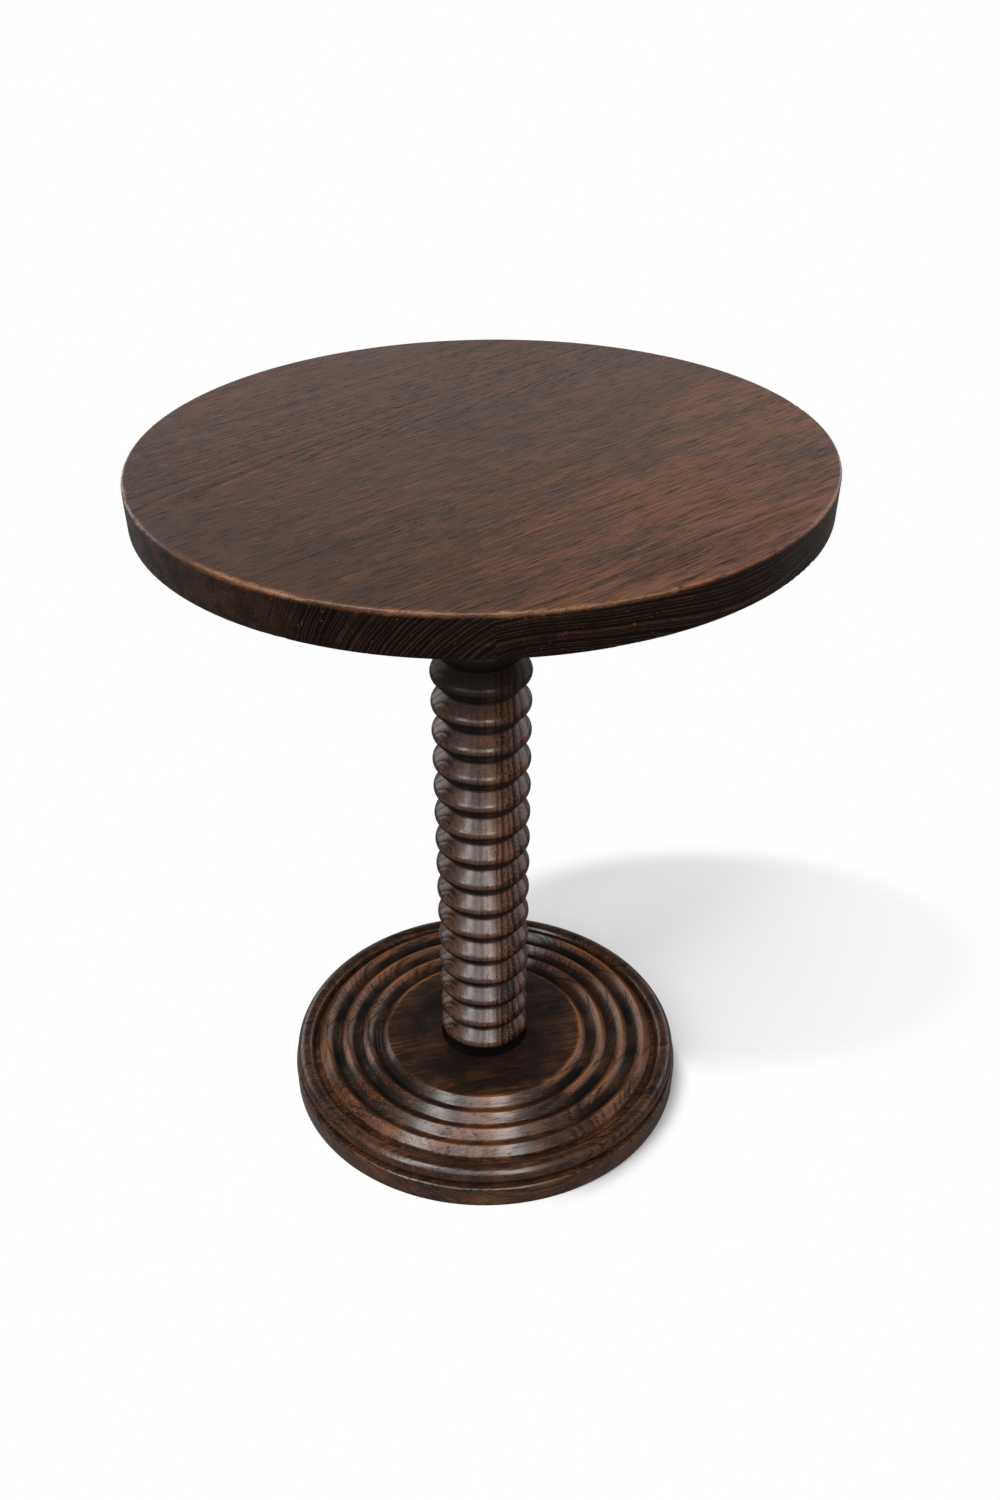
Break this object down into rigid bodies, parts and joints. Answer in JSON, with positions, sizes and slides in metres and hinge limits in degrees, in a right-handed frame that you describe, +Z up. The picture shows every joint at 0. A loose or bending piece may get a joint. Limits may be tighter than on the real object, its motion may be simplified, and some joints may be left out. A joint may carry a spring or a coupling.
{
  "type": "wine table",
  "caption": "Round pedestal occasional table in dark-stained oak: thick round top, column turned as a stack of beads, and a round moulded base on a plain plinth.",
  "frame": {"origin": "on the floor, on the axis of the column", "axes": "+Z up along the column, +X along the grain of the top"},
  "size_m": [0.5, 0.5, 0.6072],
  "materials": {
    "oak_top": "dark stain, waxed, worn at the edge",
    "oak_column": "dark stain, waxed, glossy",
    "oak_base": "dark stain, waxed, worn on the crests",
    "oak_hidden": "unstained, inside the joints",
    "screw_steel": "plain steel wood screws"
  },
  "bodies": {
    "root": {"top_board_1": "oak_top", "top_board_2": "oak_top", "top_board_3": "oak_top", "top_board_4": "oak_top", "top_board_5": "oak_top", "top_tongue_1": "oak_hidden", "top_tongue_2": "oak_hidden", "top_tongue_3": "oak_hidden", "top_tongue_4": "oak_hidden", "cleat": "oak_column", "cleat_screws": "screw_steel", "column": "oak_column", "upper_wedge": "oak_hidden", "lower_wedge": "oak_hidden", "moulding_board_1": "oak_base", "moulding_board_2": "oak_base", "moulding_board_3": "oak_base", "moulding_tongue_1": "oak_hidden", "moulding_tongue_2": "oak_hidden", "plinth_board_1": "oak_base", "plinth_board_2": "oak_base", "plinth_board_3": "oak_base", "plinth_tongue_1": "oak_hidden", "plinth_tongue_2": "oak_hidden", "base_screws": "screw_steel"}
  },
  "joints": []
}
